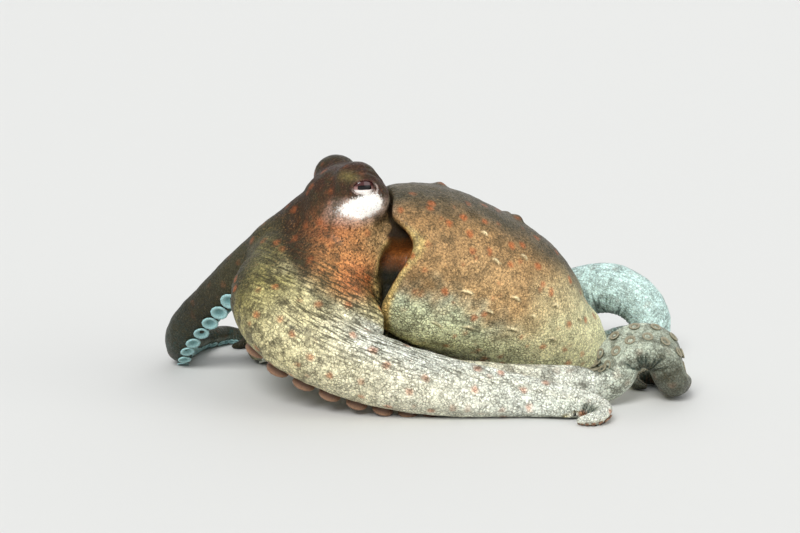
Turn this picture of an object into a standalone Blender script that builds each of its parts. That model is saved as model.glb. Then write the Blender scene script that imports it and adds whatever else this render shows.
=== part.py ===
"""A common octopus at rest, life size: the mantle slumps to the right, the head stands
over the crown of eight arms, and the arms lie round the body or arch beside it.

Metres, +Z up, the floor at z = 0. +X runs towards the mantle's end, -Y is the left flank.
Tables are in millimetres and are scaled by MM where they are read.
"""

import math
from collections import namedtuple

import bmesh
import bpy
from mathutils import Matrix, Vector

MM = 0.001
GAP = 0.35 * MM                 # between neighbouring solids
SHIFT = Vector((2.4, -40.43, 0)) * MM  # from the drawing's origin to the middle of the footprint

# Arms. Each row is a point on the arm's line: x, y, z, radius, twist in degrees.
# With z None the arm lies on the floor on its suckers.
ARM_LINES = {
    "L1": [(-70, 0, 98, 19, 0), (-86, 8, 86, 18, 0), (-108, 20, 68, 16, -5), (-131, 36, 46, 14, -20),
           (-149, 50, 27, 12.5, -35), (-154, 66, 13, 11, -30), (-153, 88, None, 9.5, -10), (-147, 110, None, 8.2, 0),
           (-134, 127, None, 7, 0)],
    "L2": [(-76, -6, 76, 22, 0), (-91, -26, 64, 23.5, 0), (-80, -47, 49, 23, 0), (-50, -59, 34, 21.5, 0),
           (-18, -63, 23.5, 19.5, 0), (18, -62.5, 16, 16.4, 0), (56, -61, 11, 12.4, 0), (92, -65, None, 8, 0)],
    "L3": [(-62, -14, 52, 18, 0), (-42, -26, 25, 16.5, 0), (0, -30, 14, 14, 15), (46, -32, 11.8, 11.8, 35),
           (80, -36, 11.8, 11.8, 90), (97, -37, 12.8, 12.6, 145), (105, -37, 15.3, 13, 168),
           (110.5, -36.5, 20.5, 13.3, 182), (113.4, -36, 28, 13.6, 190), (119.5, -35.5, 33.6, 13.8, 190),
           (127.5, -35, 35.6, 13.8, 190), (135.5, -34.5, 33.6, 13.8, 190), (141.6, -33.5, 28, 13.2, 183),
           (144, -31.5, 20.5, 12.2, 172), (146.5, -26, 13.5, 11, 155), (149.5, -15, 10, 9.6, 130),
           (149, -2, None, 8.2, 105), (145.5, 8, None, 7.4, 95)],
    "L4": [(-54, 0, 46, 17, 0), (-29, 3, 20, 13.5, 0), (0, 25, None, 10.5, 0), (32, 52, None, 9, 0),
           (64, 67, None, 8, 0), (92, 72, None, 7, 0), (114, 65, None, 6, 0), (126, 48, None, 5, 0)],
    "R4": [(-56, 10, 48, 18, 0), (-26, 34, 22, 15, 0), (6, 61, None, 12, 0), (38, 83, None, 10.5, 0),
           (68, 95, None, 9, 0), (90, 103, None, 7.5, 0), (104, 116, None, 6.2, 0), (107, 131, None, 5, 0)],
    "R3": [(-58, 18, 54, 20, 0), (-35, 58, 30, 18, 0), (6, 105, 17, 17, 0), (58, 119, 20, 16.5, 20),
           (92, 106, 35, 16.8, 50), (109, 97, 43.5, 16.6, 75), (124, 88.5, 45.5, 16.2, 90),
           (138, 81.5, 39.5, 15, 90), (146, 79, 28.5, 13.6, 80), (148, 81.5, 17.8, 12.5, 60),
           (147, 89.5, 11.4, 11.6, 40), (143.5, 99.5, None, 10.6, 25), (136, 108.5, None, 9.2, 20)],
    "R2": [(-64, 16, 56, 19, 0), (-64, 50, 29, 17, 0), (-58, 84, 14.5, 14.5, 0), (-42, 110, None, 12.5, 0),
           (-10, 133, None, 11, 0), (26, 145, None, 9.5, 0), (58, 147, None, 7.5, 0)],
    "R1": [(-74, 12, 66, 19, 0), (-88, 38, 38, 17, 0), (-98, 66, 15, 15, 0), (-102, 92, None, 13, 0),
           (-97, 118, None, 11, 0), (-78, 138, None, 9.5, 0), (-52, 146, None, 8, 0)],
}
# The curl at each arm's tip: degrees turned (left is positive), and the curl's first radius.
ARM_CURLS = {
    "L1": (-270, 12), "L2": (-260, 14), "L3": (270, 12), "L4": (-270, 10),
    "R4": (270, 10), "R3": (280, 13), "R2": (270, 13), "R1": (270, 13),
}
ARM_ORDER = ("L1", "L2", "L3", "L4", "R4", "R3", "R2", "R1")    # round the crown
TIP_RADIUS = 1.3
SECTION_SIDES = 8
ORAL_FLAT = 0.62                # the flat sucker side, as a share of the arm's radius
SUCKER_STANDS = 0.22            # how far suckers stand out of it
CROWN_ENDS = 68 * MM            # along an arm, where the crown's solid gives way to the arm's
BASE_ENDS = 0.42                # then the arm's own lengths, as shares of what is left
MIDDLE_ENDS = 0.74
SUCKERED = 0.42                 # how far along an arm its solids carry suckers
WEB_REACH = {"L1": 72, "L2": 30, "L3": 44, "L4": 60, "R4": 64, "R3": 64, "R2": 66, "R1": 66}    # to the next arm
WEB_DIP = 0.30                  # how far the web's free edge dips between two arms
WEB_THICK = 4.2 * MM

# The mantle, from its mouth behind the head to its rear end: x, y, z, radius, twist.
MANTLE_LINE = [(-26, -3, 82, 42.5, 0), (-13, 0, 80.5, 46.2, 0), (4, 6, 75.5, 48, 0), (26, 14, 63, 48, 0),
               (51, 23, 47.5, 43.5, 0), (78, 32, 28, 34.2, 0), (98, 38.5, 19.5, 22.8, 0), (107, 41.5, 16, 13, 0),
               (111, 43, 13.5, 3.5, 0)]
MANTLE_SIDES = 20
LIP = 4.5 * MM                  # thickness of the mantle's free edge
CUP_DEPTH = 20 * MM             # how deep the mantle cavity opens behind the head

# The head looks along FACING; its frame's axes are forward, left and up.
HEAD_AT = Vector((-47, -2, 126)) * MM
FACING_TURN = math.radians(200)
EYE_APART = 21.5
EYE_BALL = 8.6
EYE_RISE = 2
EYE_SINK = 4.6                  # from the eye mound's middle out to the ball's middle
MOUND = 14
LID_OPENING = (7.0, 4.0)        # half the width and height between the lids
# Soft masses of head and crown: start, start radius, end, end radius.
MASSES = [
    ((-48, -2, 112), 26, (-50, -6, 92), 29),        # skull
    ((-50, -6, 92), 29, (-60, -12, 60), 36),        # head standing on the crown
    ((-76, -4, 70), 33, (-72, 2, 52), 34),          # crown
    ((-62, 0, 108), 17, (-90, 8, 84), 18),          # brow running into the first arms
    ((-42, -2, 100), 27, (-4, 4, 87), 26),          # neck
    ((-44, -6, 74), 27, (-6, 4, 72), 30),           # throat
    ((-54, -14, 86), 25, (-68, -38, 56), 25),       # shoulder running into the second left arm
]
CHEEK_END = (4, 14, -44)        # below the left eye, in the head's frame; mirrored for the right

SIPHON_LINE = [(-26, 22, 62, 10, 0), (-21, 36, 60, 8.5, 0), (-17, 48, 62, 7, 0), (-15, 57, 65, 6, 0)]
SIPHON_BORE = 6 * MM

Station = namedtuple("Station", "place along oral radius run")


def clear_scene():
    for old in list(bpy.data.objects):
        bpy.data.objects.remove(old)


def collection(name):
    made = bpy.data.collections.new(name)
    bpy.context.scene.collection.children.link(made)
    return made


def finish(name, colour, roughness):
    material = bpy.data.materials.new(name)
    material.use_nodes = True
    shader = material.node_tree.nodes["Principled BSDF"]
    shader.inputs["Base Color"].default_value = (*colour, 1)
    shader.inputs["Roughness"].default_value = roughness
    shader.inputs["Metallic"].default_value = 0
    material.diffuse_color = (*colour, 1)
    return material


# ---- lines --------------------------------------------------------------------------

def lying_height(radius, twist):
    """Height of an arm's line where it lies on its suckers, or on its side if twisted."""
    on_suckers = ORAL_FLAT + SUCKER_STANDS
    return radius * (on_suckers + (1 - on_suckers) * min(1, abs(twist) / 60))


def with_curl(rows, degrees, first_radius):
    """The line's rows, followed by a curl that tightens to the tip on the floor."""
    rows = [(x, y, lying_height(r, t) if z is None else z, r, t) for x, y, z, r, t in rows]
    (x, y, _, radius, twist), (x_before, y_before) = rows[-1], rows[-2][:2]
    heading = math.atan2(y - y_before, x - x_before)
    steps = max(6, round(abs(degrees) / 32))
    step_length = first_radius * math.radians(abs(degrees)) / steps
    spacing = math.hypot(x - x_before, y - y_before)
    start, end = Vector(rows[-2]), Vector(rows[-1])
    for lengths in (2.6, 1.1):      # rows close up on the way into the curl
        share = 1 - lengths * step_length / spacing
        if share > 0.5:
            rows.insert(-1, tuple(start.lerp(end, share)))
    for step in range(1, steps + 1):
        share = step / steps
        bend = first_radius * (1 - share) + 3.2 * share
        turn = math.radians(degrees / steps)
        heading += turn
        x += math.cos(heading) * bend * abs(turn)
        y += math.sin(heading) * bend * abs(turn)
        thick = radius + (TIP_RADIUS - radius) * share
        rows.append((x, y, lying_height(thick, twist), thick, twist))
    return rows


def on_curve(rows, share):
    """The Catmull-Rom curve through the rows, at a share of the way along them."""
    spans = len(rows) - 1
    span = min(int(share * spans), spans - 1)
    t = share * spans - span
    before, start, end, after = (Vector(rows[min(max(k, 0), spans)]) for k in range(span - 1, span + 3))
    return 0.5 * (2 * start + (end - before) * t + (2 * before - 5 * start + 4 * end - after) * t ** 2
                  + (3 * start - before - 3 * end + after) * t ** 3)


def stations_along(rows, fine=16):
    """Close stations on the curve, with the sucker side carried along without needless spin."""
    count = fine * (len(rows) - 1)
    points = [on_curve(rows, k / count) for k in range(count + 1)]
    places = [Vector(p[:3]) * MM + SHIFT for p in points]
    stations, run, carried = [], 0.0, Vector((0, 0, -1))
    for k, place in enumerate(places):
        along = (places[min(k + 1, count)] - places[max(k - 1, 0)]).normalized()
        carried = (carried - carried.dot(along) * along).normalized()
        run += (place - places[k - 1]).length if k else 0
        oral = Matrix.Rotation(math.radians(points[k][4]), 3, along) @ carried
        stations.append(Station(place, along, oral, points[k][3] * MM, run))
    return stations


def at_run(stations, run):
    """The station at a given length along the line."""
    for a, b in zip(stations, stations[1:]):
        if b.run >= run:
            share = (run - a.run) / (b.run - a.run)
            return Station(*(one + (other - one) * share for one, other in zip(a, b)))
    return stations[-1]


def sparse(stations, start, end, spread=1.8, bend=math.radians(31)):
    """Few stations from start to end: closer where the arm is thin or bends."""
    kept, cost = [at_run(stations, start)], 0.0
    inside = [s for s in stations if start < s.run < end]
    for s, after in zip(inside, inside[1:]):
        cost += (after.run - s.run) / (spread * s.radius) + s.along.angle(after.along) / bend
        if cost >= 1 and end - after.run > 0.4 * after.radius:
            kept.append(after)
            cost = 0.0
    return kept + [at_run(stations, end)]


# ---- meshes -------------------------------------------------------------------------

def frame_of(station, width=1.0):
    """Places a unit section: x across, y towards the suckers, z along."""
    across = station.oral.cross(station.along).normalized()
    oral = station.along.cross(across)
    turned = Matrix((across * station.radius * width, oral * station.radius, station.along * station.radius))
    return Matrix.Translation(station.place) @ turned.transposed().to_4x4()


def sweep(bm, stations, sides=SECTION_SIDES, flat=ORAL_FLAT, width=1.0):
    """A closed body through the stations. Returns its first cap."""
    half_step = Matrix.Rotation(math.pi / sides, 4, "Z")
    ring = bmesh.ops.create_circle(bm, segments=sides, radius=1, cap_ends=False, matrix=half_step)["verts"]
    for vert in ring:
        vert.co.y = min(vert.co.y, flat)
    place = frame_of(stations[0], width)
    bmesh.ops.transform(bm, matrix=place, verts=ring)
    edges = list({edge for vert in ring for edge in vert.link_edges})
    first_cap = bmesh.ops.contextual_create(bm, geom=edges)["faces"][0]
    for station in stations[1:]:
        following = frame_of(station, width)
        made = bmesh.ops.extrude_edge_only(bm, edges=edges)["geom"]
        edges = [g for g in made if isinstance(g, bmesh.types.BMEdge) and all(v in made for v in g.verts)]
        ring = [g for g in made if isinstance(g, bmesh.types.BMVert)]
        bmesh.ops.transform(bm, matrix=following @ place.inverted(), verts=ring)
        place = following
    bmesh.ops.contextual_create(bm, geom=edges)
    return first_cap


def settle(bm):
    """What would sink in the floor is flattened on it."""
    for vert in bm.verts:
        vert.co.z = max(vert.co.z, 0)


def to_object(name, bm, where, material=None):
    bmesh.ops.recalc_face_normals(bm, faces=bm.faces)
    mesh = bpy.data.meshes.new(name)
    bm.to_mesh(mesh)
    bm.free()
    made = bpy.data.objects.new(name, mesh)
    where.objects.link(made)
    if material:
        mesh.materials.append(material)
    return made


def hide(cutter):
    cutter.hide_render = True
    cutter.display_type = "WIRE"
    return cutter


def evaluated_copy(source, name, where):
    """A plain mesh object of what the source's modifiers make."""
    graph = bpy.context.evaluated_depsgraph_get()
    mesh = bpy.data.meshes.new_from_object(source.evaluated_get(graph))
    made = bpy.data.objects.new(name, mesh)
    where.objects.link(made)
    return made


def boolean(target, operation, other, crossing=False):
    """Cuts or joins by another object, which may cross itself where it has swelled."""
    modifier = target.modifiers.new(f"{operation.lower()} {other.name}", "BOOLEAN")
    modifier.operation = operation
    modifier.solver = "EXACT"
    modifier.use_self = crossing
    modifier.object = other


def drop_crumbs(target):
    """Settles the target's cuts and drops what they left loose, so one body stays."""
    graph = bpy.context.evaluated_depsgraph_get()
    mesh = bpy.data.meshes.new_from_object(target.evaluated_get(graph))
    bm = bmesh.new()
    bm.from_mesh(mesh)
    bodies, unseen = [], set(bm.faces)
    while unseen:
        body, edge_of = [], [unseen.pop()]
        while edge_of:
            face = edge_of.pop()
            body.append(face)
            near = {other for edge in face.edges for other in edge.link_faces} & unseen
            unseen -= near
            edge_of.extend(near)
        bodies.append(body)
    bodies.sort(key=len)
    for body in bodies[:-1]:
        bmesh.ops.delete(bm, geom=body, context="FACES")
    bm.to_mesh(mesh)
    bm.free()
    target.modifiers.clear()
    target.data = mesh


def soften(target, voxel, rounds, triangles_kept):
    """Melts overlapping masses into one soft skin and thins its triangles."""
    remesh = target.modifiers.new("melt", "REMESH")
    remesh.mode = "VOXEL"
    remesh.voxel_size = voxel
    smooth = target.modifiers.new("smooth", "SMOOTH")
    smooth.factor = 0.5
    smooth.iterations = rounds
    thin = target.modifiers.new("thin", "DECIMATE")
    thin.ratio = triangles_kept


def swelled(source, by, name, where):
    """A cutter: the source's evaluated shape, grown by a gap."""
    cutter = hide(evaluated_copy(source, name, where))
    grow = cutter.modifiers.new("grow", "DISPLACE")
    grow.strength = by
    grow.mid_level = 0
    return cutter


def ball(bm, centre, radii, turn=None, around=20):
    matrix = Matrix.Translation(centre) @ (turn or Matrix()) @ Matrix.Diagonal((*radii, 1))
    bmesh.ops.create_uvsphere(bm, u_segments=around, v_segments=around * 2 // 3, radius=1, matrix=matrix)


def mass(bm, start, start_radius, end, end_radius, balls=7):
    """A soft tapered mass between two points, as overlapping balls."""
    start, end = Vector(start), Vector(end)
    for k in range(balls):
        share = k / (balls - 1)
        radius = start_radius + (end_radius - start_radius) * share
        ball(bm, start.lerp(end, share) * MM + SHIFT, [radius * MM] * 3)


# ---- head and crown -----------------------------------------------------------------

def head_frame():
    """Turns head coordinates, forward, left and up, to the model's."""
    forward = Vector((math.cos(FACING_TURN), math.sin(FACING_TURN), 0))
    left = Vector((0, 0, 1)).cross(forward)
    turned = Matrix((forward, left, (0, 0, 1))).transposed().to_4x4()
    return Matrix.Translation(HEAD_AT + SHIFT) @ turned


def eye_place(side, out):
    """A point on the eye's axis; side is 1 on the left and -1 on the right."""
    return head_frame() @ (Vector((0, side * (EYE_APART + out), EYE_RISE)) * MM)


def web_between(arm, other, reach, crown):
    """The web from one arm to the next: a sheet with a dipping free edge, thickened."""
    bm = bmesh.new()
    bmesh.ops.create_grid(bm, x_segments=8, y_segments=8, size=1)
    for vert in bm.verts:
        across, out = (vert.co.x + 1) / 2, (vert.co.y + 1) / 2
        edge = reach * (1 - WEB_DIP * 4 * across * (1 - across))
        a, b = at_run(arm, edge * out), at_run(other, edge * out)
        vert.co = a.place.lerp(b.place, across)
        vert.co.z = max(vert.co.z, WEB_THICK / 2)
    sheet = bpy.data.meshes.new("web")
    bm.to_mesh(sheet)
    bm.free()
    held = bpy.data.objects.new("web", sheet)
    bpy.context.scene.collection.objects.link(held)
    thick = held.modifiers.new("thickness", "SOLIDIFY")
    thick.thickness = WEB_THICK
    thick.offset = 0
    graph = bpy.context.evaluated_depsgraph_get()
    solid = bpy.data.meshes.new_from_object(held.evaluated_get(graph))
    crown.from_mesh(solid)
    bpy.data.objects.remove(held)


def body_core(arms, cutters):
    """Head, neck, crown, arm roots and web melted into one; head and crown are cut from it."""
    bm = bmesh.new()
    for row in MASSES:
        mass(bm, *row)
    for side in (1, -1):
        forward, left, up = CHEEK_END
        cheek = (head_frame() @ (Vector((forward, side * left, up)) * MM) - SHIFT) / MM
        mound = (eye_place(side, -2.5) - SHIFT) / MM
        mass(bm, mound, MOUND, mound + Vector((6, -4 * side, -8)), MOUND)
        mass(bm, mound, MOUND - 1, cheek, 23)
        ball(bm, eye_place(side, -5) + Vector((0, 0, 6 * MM)), [8 * MM] * 3)
    for name in ARM_ORDER:
        sweep(bm, sparse(arms[name], 0, CROWN_ENDS + 2 * MM, 0.6))
    for name, following in zip(ARM_ORDER, ARM_ORDER[1:] + ARM_ORDER[:1]):
        web_between(arms[name], arms[following], WEB_REACH[name] * MM, bm)
    settle(bm)
    core = hide(to_object("body_core", bm, cutters))
    soften(core, 2.0 * MM, 7, 0.028)
    melted = hide(evaluated_copy(core, "melted_core", cutters))
    bpy.data.objects.remove(core)
    return melted


def box(name, centre, size, turn, where):
    bm = bmesh.new()
    bmesh.ops.create_cube(bm, size=1, matrix=Matrix.Translation(centre) @ turn @ Matrix.Diagonal((*size, 1)))
    return hide(to_object(name, bm, where))


HEAD_CUT_AT = Vector((-62, -2, 87)) * MM        # the head meets the crown on this slanted plane
HEAD_CUT_TILT = math.radians(24)


def build_head_and_crown(core, arms, parts, cutters, skin):
    turn = Matrix.Rotation(HEAD_CUT_TILT, 4, "Y")
    size = 0.4
    above = turn @ Vector((0, 0, size / 2))
    head_side = box("head_side", HEAD_CUT_AT + SHIFT + above, (size, size, size), turn, cutters)
    apart = turn @ Vector((0, 0, -GAP))
    crown_cut = box("crown_cut", HEAD_CUT_AT + SHIFT + above + apart, (size, size, size), turn, cutters)

    head = bpy.data.objects.new("head", core.data.copy())
    parts.objects.link(head)
    head.data.materials.append(skin)
    boolean(head, "INTERSECT", head_side)
    for side, word in ((1, "left"), (-1, "right")):
        boolean(head, "DIFFERENCE", eye_socket(side, word, cutters))

    crown = bpy.data.objects.new("arm_crown", core.data.copy())
    parts.objects.link(crown)
    crown.data.materials.append(skin)
    boolean(crown, "DIFFERENCE", crown_cut)
    for name in ARM_ORDER:
        kept = arm_lengths(arms[name])[0]
        bm = bmesh.new()
        sweep(bm, [s._replace(radius=s.radius + 1.5 * GAP) for s in kept])
        boolean(crown, "DIFFERENCE", hide(to_object(f"clearance_{name}", bm, cutters)))
        rows = suckers(arms[name], kept, room=1.5 * GAP)
        boolean(crown, "DIFFERENCE", hide(to_object(f"sucker_room_{name}", rows, cutters)))


def eye_turn(side):
    """Turns +Z to the eye's axis, with x level."""
    outward = (eye_place(side, 1) - eye_place(side, 0)).normalized()
    level = Vector((0, 0, 1)).cross(outward).normalized()
    return Matrix((level, outward.cross(level), outward)).transposed().to_4x4()


def eye_socket(side, word, where):
    """The hollow that holds the eyeball, open between the lids."""
    bm = bmesh.new()
    ball(bm, eye_place(side, EYE_SINK), [EYE_BALL * MM + 1.5 * GAP] * 3, eye_turn(side), around=12)
    socket = hide(to_object(f"socket_{word}", bm, where))
    bm = bmesh.new()
    wide, high = (half * MM for half in LID_OPENING)
    matrix = (Matrix.Translation(eye_place(side, EYE_SINK + 8)) @ eye_turn(side)
              @ Matrix.Diagonal((wide, high, 1, 1)))
    bmesh.ops.create_cone(bm, cap_ends=True, segments=14, radius1=1, radius2=1.25, depth=14 * MM, matrix=matrix)
    slot = hide(to_object(f"lids_{word}", bm, where))
    boolean(socket, "UNION", slot)
    return socket


def build_eyes(parts, material):
    for side, word in ((1, "left"), (-1, "right")):
        bm = bmesh.new()
        ball(bm, eye_place(side, EYE_SINK), [EYE_BALL * MM] * 3, turn=eye_turn(side), around=12)
        to_object(f"eye_{word}", bm, parts, material)


# ---- mantle and siphon --------------------------------------------------------------

def build_mantle(core, siphon, parts, cutters, skin):
    """A closed sack whose mouth is a cup behind the head, with a thick free lip."""
    line = stations_along(MANTLE_LINE)
    bm = bmesh.new()
    mouth = sweep(bm, sparse(line, 0, line[-1].run, 0.38), sides=MANTLE_SIDES, flat=0.94)
    inward = line[0].along
    bmesh.ops.inset_region(bm, faces=[mouth], thickness=LIP, depth=0)
    for share, shrink in ((0.5, 0.97), (1.0, 0.72)):
        made = bmesh.ops.extrude_discrete_faces(bm, faces=[mouth])["faces"]
        mouth = made[0]
        centre = mouth.calc_center_median()
        for vert in mouth.verts:
            vert.co = centre + (vert.co - centre) * shrink + inward * CUP_DEPTH * 0.5
    settle(bm)
    mantle = to_object("mantle", bm, parts, skin)
    boolean(mantle, "DIFFERENCE", swelled(core, 1.6 * GAP, "core_clearance", cutters), True)
    boolean(mantle, "DIFFERENCE", swelled(siphon, 1.6 * GAP, "siphon_clearance", cutters), True)
    drop_crumbs(mantle)


def build_siphon(core, parts, cutters, skin):
    """The funnel, a short open tube from under the neck out past the mantle's lip."""
    line = stations_along(SIPHON_LINE)
    bm = bmesh.new()
    sweep(bm, sparse(line, 0, line[-1].run, 0.9), sides=12, flat=1)
    siphon = to_object("siphon", bm, parts, skin)
    mouth = line[-1]
    turn = frame_of(mouth).to_3x3().normalized().to_4x4()
    bm = bmesh.new()
    depth = 22 * MM
    bmesh.ops.create_cone(bm, cap_ends=True, segments=12, radius1=0.5 * SIPHON_BORE, radius2=0.75 * SIPHON_BORE,
                          depth=depth, matrix=Matrix.Translation(mouth.place) @ turn)
    boolean(siphon, "DIFFERENCE", hide(to_object("siphon_bore", bm, cutters)))
    boolean(siphon, "DIFFERENCE", swelled(core, 1.6 * GAP, "siphon_seat", cutters), True)
    return siphon


# ---- arms ---------------------------------------------------------------------------

def suckers(stations, kept, room=0):
    """Two rows of low suckers on one length of an arm, as one mesh of separate prisms."""
    bm = bmesh.new()
    suckers_end = CROWN_ENDS + SUCKERED * (stations[-1].run - CROWN_ENDS)
    margin = 0.5 * kept[0].radius
    run, end, side = kept[0].run + margin, min(kept[-1].run, suckers_end) - margin, 1
    turn = Matrix.Rotation(-math.pi / 2, 4, "X")
    while run < end:
        here = at_run(stations, run)
        wide = 0.40 * here.radius + room
        height = (SUCKER_STANDS + 0.24) * here.radius
        frame = frame_of(here).to_3x3().normalized().to_4x4()
        offset = Vector((side * 0.42 * here.radius, (ORAL_FLAT + SUCKER_STANDS / 2 - 0.12) * here.radius, 0))
        place = Matrix.Translation(here.place + frame.to_3x3() @ offset) @ frame @ turn
        bmesh.ops.create_cone(bm, cap_ends=True, segments=6, radius1=0.72 * wide, radius2=wide,
                              depth=height + 2 * room, matrix=place)
        run += 0.7 * here.radius
        side = -side
    return bm


def arm_lengths(stations):
    """The few stations of an arm's base, middle and tip."""
    whole = stations[-1].run - CROWN_ENDS
    ends = [CROWN_ENDS, CROWN_ENDS + BASE_ENDS * whole, CROWN_ENDS + MIDDLE_ENDS * whole, stations[-1].run]
    return [sparse(stations, start, end) for start, end in zip(ends, ends[1:])]


def build_arm(name, stations, parts, cutters, skin):
    """Base, middle and tip of one arm, meeting face to face."""
    for word, kept in zip(("base", "middle", "tip"), arm_lengths(stations)):
        bm = bmesh.new()
        sweep(bm, [at_run(stations, kept[0].run + GAP)] + kept[1:])
        settle(bm)
        length = to_object(f"arm_{name}_{word}", bm, parts, skin)
        rows = suckers(stations, kept)
        if rows.verts:
            settle(rows)
            boolean(length, "UNION", hide(to_object(f"suckers_{name}_{word}", rows, cutters)))
        else:
            rows.free()


def main():
    clear_scene()
    parts = collection("octopus")
    cutters = collection("cutters")
    skin = finish("octopus_skin", (0.46, 0.36, 0.24), 0.55)
    eye = finish("octopus_eye", (0.10, 0.05, 0.04), 0.15)
    arms = {name: stations_along(with_curl(ARM_LINES[name], *ARM_CURLS[name])) for name in ARM_ORDER}
    core = body_core(arms, cutters)
    build_head_and_crown(core, arms, parts, cutters, skin)
    build_eyes(parts, eye)
    siphon = build_siphon(core, parts, cutters, skin)
    build_mantle(core, siphon, parts, cutters, skin)
    for name in ARM_ORDER:
        build_arm(name, arms[name], parts, cutters, skin)


main()
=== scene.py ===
import math
from collections import namedtuple

import bmesh
import bpy
import numpy as np
from mathutils import Matrix, Vector, noise


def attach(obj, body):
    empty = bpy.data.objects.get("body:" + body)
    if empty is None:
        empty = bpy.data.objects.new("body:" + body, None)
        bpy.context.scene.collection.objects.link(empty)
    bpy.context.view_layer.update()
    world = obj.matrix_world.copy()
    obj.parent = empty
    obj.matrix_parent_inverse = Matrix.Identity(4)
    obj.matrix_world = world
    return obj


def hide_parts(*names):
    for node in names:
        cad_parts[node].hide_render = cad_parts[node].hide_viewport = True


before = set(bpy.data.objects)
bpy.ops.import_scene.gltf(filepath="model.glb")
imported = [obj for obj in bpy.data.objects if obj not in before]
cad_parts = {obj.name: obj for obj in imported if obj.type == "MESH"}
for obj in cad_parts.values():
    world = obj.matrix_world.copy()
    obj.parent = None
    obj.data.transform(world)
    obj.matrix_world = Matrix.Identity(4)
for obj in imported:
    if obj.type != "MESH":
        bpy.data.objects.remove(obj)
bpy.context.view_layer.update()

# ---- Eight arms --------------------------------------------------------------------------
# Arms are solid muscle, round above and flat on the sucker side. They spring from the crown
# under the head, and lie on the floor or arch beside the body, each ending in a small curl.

MM = 0.001
# Tables are in millimetres along the drawing's axes, as the solids' own lines are.
SHIFT = Vector((2.4, -40.43, 0)) * MM     # from the drawing's origin to the middle of the footprint

Station = namedtuple("Station", "place along oral radius run")


def on_curve(rows, share):
    """The Catmull-Rom curve through the rows, at a share of the way along them."""
    spans = len(rows) - 1
    span = min(int(share * spans), spans - 1)
    t = share * spans - span
    before, start, end, after = (Vector(rows[min(max(k, 0), spans)]) for k in range(span - 1, span + 3))
    return 0.5 * (2 * start + (end - before) * t + (2 * before - 5 * start + 4 * end - after) * t ** 2
                  + (3 * start - before - 3 * end + after) * t ** 3)


def stations_along(rows, fine=16):
    """Close stations on the curve, with the sucker side carried along without needless spin."""
    count = fine * (len(rows) - 1)
    points = [on_curve(rows, k / count) for k in range(count + 1)]
    places = [Vector(p[:3]) * MM + SHIFT for p in points]
    stations, run, carried = [], 0.0, Vector((0, 0, -1))
    for k, place in enumerate(places):
        along = (places[min(k + 1, count)] - places[max(k - 1, 0)]).normalized()
        carried = (carried - carried.dot(along) * along).normalized()
        run += (place - places[k - 1]).length if k else 0
        oral = Matrix.Rotation(math.radians(points[k][4]), 3, along) @ carried
        stations.append(Station(place, along, oral, points[k][3] * MM, run))
    return stations


def at_run(stations, run):
    """The station at a given length along the line."""
    for a, b in zip(stations, stations[1:]):
        if b.run >= run:
            share = (run - a.run) / (b.run - a.run)
            return Station(*(one + (other - one) * share for one, other in zip(a, b)))
    return stations[-1]


def spaced(stations, spread):
    """Stations a share of the radius apart, from the first to the last."""
    kept = [stations[0]]
    for station in stations[1:-1]:
        if station.run - kept[-1].run > spread * station.radius:
            kept.append(station)
    return kept + [stations[-1]]


def frame_of(station):
    """Places a unit section: x across, y towards the suckers, z along."""
    across = station.oral.cross(station.along).normalized()
    oral = station.along.cross(across)
    turned = Matrix((across * station.radius, oral * station.radius, station.along * station.radius))
    return Matrix.Translation(station.place) @ turned.transposed().to_4x4()


def grown(bm, edges):
    """Draws a ring of edges out by one step. Returns the new ring's edges and points."""
    made = bmesh.ops.extrude_edge_only(bm, edges=edges)["geom"]
    ring = [g for g in made if isinstance(g, bmesh.types.BMVert)]
    return [g for g in made if isinstance(g, bmesh.types.BMEdge) and all(v in ring for v in g.verts)], ring


def sweep(bm, stations, sides, flat):
    """A closed round body through the stations, flattened on one side. Returns its first cap."""
    half_step = Matrix.Rotation(math.pi / sides, 4, "Z")
    ring = bmesh.ops.create_circle(bm, segments=sides, radius=1, cap_ends=False, matrix=half_step)["verts"]
    for vert in ring:
        vert.co.y = min(vert.co.y, flat)
    place = frame_of(stations[0])
    bmesh.ops.transform(bm, matrix=place, verts=ring)
    edges = bm.edges[:]
    first_cap = bmesh.ops.contextual_create(bm, geom=edges)["faces"][0]
    for station in stations[1:]:
        following = frame_of(station)
        edges, ring = grown(bm, edges)
        bmesh.ops.transform(bm, matrix=following @ place.inverted(), verts=ring)
        place = following
    bmesh.ops.contextual_create(bm, geom=edges)
    return first_cap


def to_mesh(name, bm):
    mesh = bpy.data.meshes.new(name)
    bm.to_mesh(mesh)
    bm.free()
    return mesh


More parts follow.
